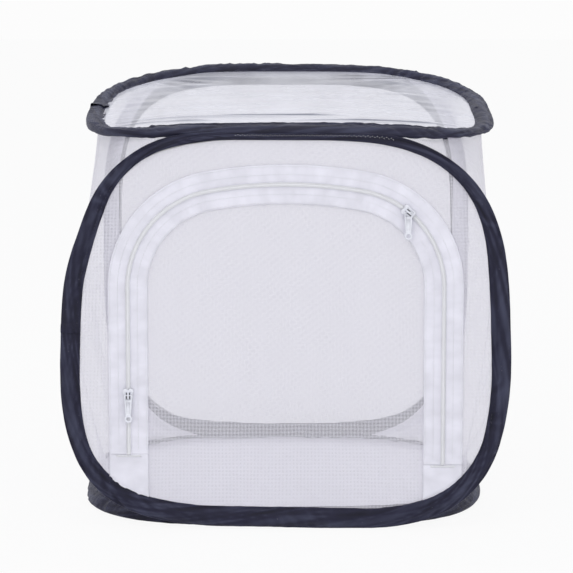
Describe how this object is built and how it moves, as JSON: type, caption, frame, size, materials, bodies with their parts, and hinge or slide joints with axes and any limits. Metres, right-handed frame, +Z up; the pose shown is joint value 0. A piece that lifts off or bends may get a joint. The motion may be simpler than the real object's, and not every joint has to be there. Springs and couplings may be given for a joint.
{
  "type": "pop-up mesh insect cage",
  "caption": "Free-standing folding cage of white mesh on sprung wire hoops in navy sleeves, with a clear top and an arched door zipped all round.",
  "frame": {"origin": "on the floor, under the middle of the cage's bounding box", "axes": "+X to the right seen from the front, +Y from the door's side to the rear, +Z up"},
  "size_m": [0.3208, 0.3088, 0.3141],
  "materials": {
    "navy_cloth": "woven navy cloth",
    "white_mesh": "open knitted mesh",
    "clear_film": "clear flexible film",
    "white_tape": "woven white tape",
    "nylon_coil": "white nylon",
    "white_enamel": "white enamel",
    "spring_steel": "spring steel",
    "zinc_steel": "zinc plated"
  },
  "bodies": {
    "base": {"base_sleeve": "navy_cloth", "base_hoop_wire": "spring_steel", "base_hoop_ferrule": "zinc_steel", "floor_panel": "white_mesh", "left_wall": "white_mesh", "right_wall": "white_mesh"},
    "front": {"front_sleeve": "navy_cloth", "front_hoop_wire": "spring_steel", "front_hoop_ferrule": "zinc_steel", "front_panel": "white_mesh", "zip_tape_outer": "white_tape", "zip_coil_outer": "nylon_coil", "left_facing": "white_tape", "right_facing": "white_tape", "left_bar_tack": "white_tape", "right_bar_tack": "white_tape"},
    "back": {"back_sleeve": "navy_cloth", "back_hoop_wire": "spring_steel", "back_hoop_ferrule": "zinc_steel", "back_panel": "white_mesh"},
    "top": {"top_sleeve": "navy_cloth", "top_hoop_wire": "spring_steel", "top_hoop_ferrule": "zinc_steel", "top_window": "clear_film"},
    "door": {"door_panel": "white_mesh", "zip_tape_inner": "white_tape", "zip_coil_inner": "nylon_coil"},
    "left_slider": {"left_slider": "white_enamel"},
    "left_pull": {"left_pull": "white_enamel"},
    "right_slider": {"right_slider": "white_enamel"},
    "right_pull": {"right_pull": "white_enamel"}
  },
  "joints": [
    {"name": "front_fold", "type": "hinge", "parent": "base", "child": "front", "pos_m": [0, -0.14525, 0.0055], "axis": [-1, 0, 0], "range_deg": [0, 65], "stiffness_Nm_per_rad": 0.4, "springref_deg": -28.65, "deforming": ["left_wall", "right_wall"]},
    {"name": "back_fold", "type": "hinge", "parent": "base", "child": "back", "pos_m": [0, 0.1514, 0.0018], "axis": [-1, 0, 0], "range_deg": [0, 65]},
    {"name": "top_fold", "type": "hinge", "parent": "front", "child": "top", "pos_m": [0, -0.14815, 0.28425], "axis": [-1, 0, 0], "range_deg": [-65, 0]},
    {"name": "door_fall", "type": "hinge", "parent": "front", "child": "door", "pos_m": [0, -0.14845, 0.041], "axis": [1, 0, 0], "range_deg": [0, 100]},
    {"name": "left_slider_run", "type": "slide", "parent": "door", "child": "left_slider", "axis": [0, 0, 1], "range_m": [-0.039, 0.068]},
    {"name": "right_slider_run", "type": "hinge", "parent": "door", "child": "right_slider", "pos_m": [0.0425, -0.14815, 0.17528], "axis": [0, -1, 0], "range_deg": [-46, 24]},
    {"name": "left_pull_lift", "type": "hinge", "parent": "left_slider", "child": "left_pull", "pos_m": [-0.1125, -0.1529, 0.098], "axis": [1, 0, 0], "range_deg": [-160, 0]},
    {"name": "right_pull_lift", "type": "hinge", "parent": "right_slider", "child": "right_pull", "pos_m": [0.08655, -0.1529, 0.22968], "axis": [1, 0, 0], "range_deg": [-160, 0]}
  ],
  "couplings": [
    {"joint": "back_fold", "follows": "front_fold", "ratio": 1},
    {"joint": "top_fold", "follows": "front_fold", "ratio": -1}
  ]
}
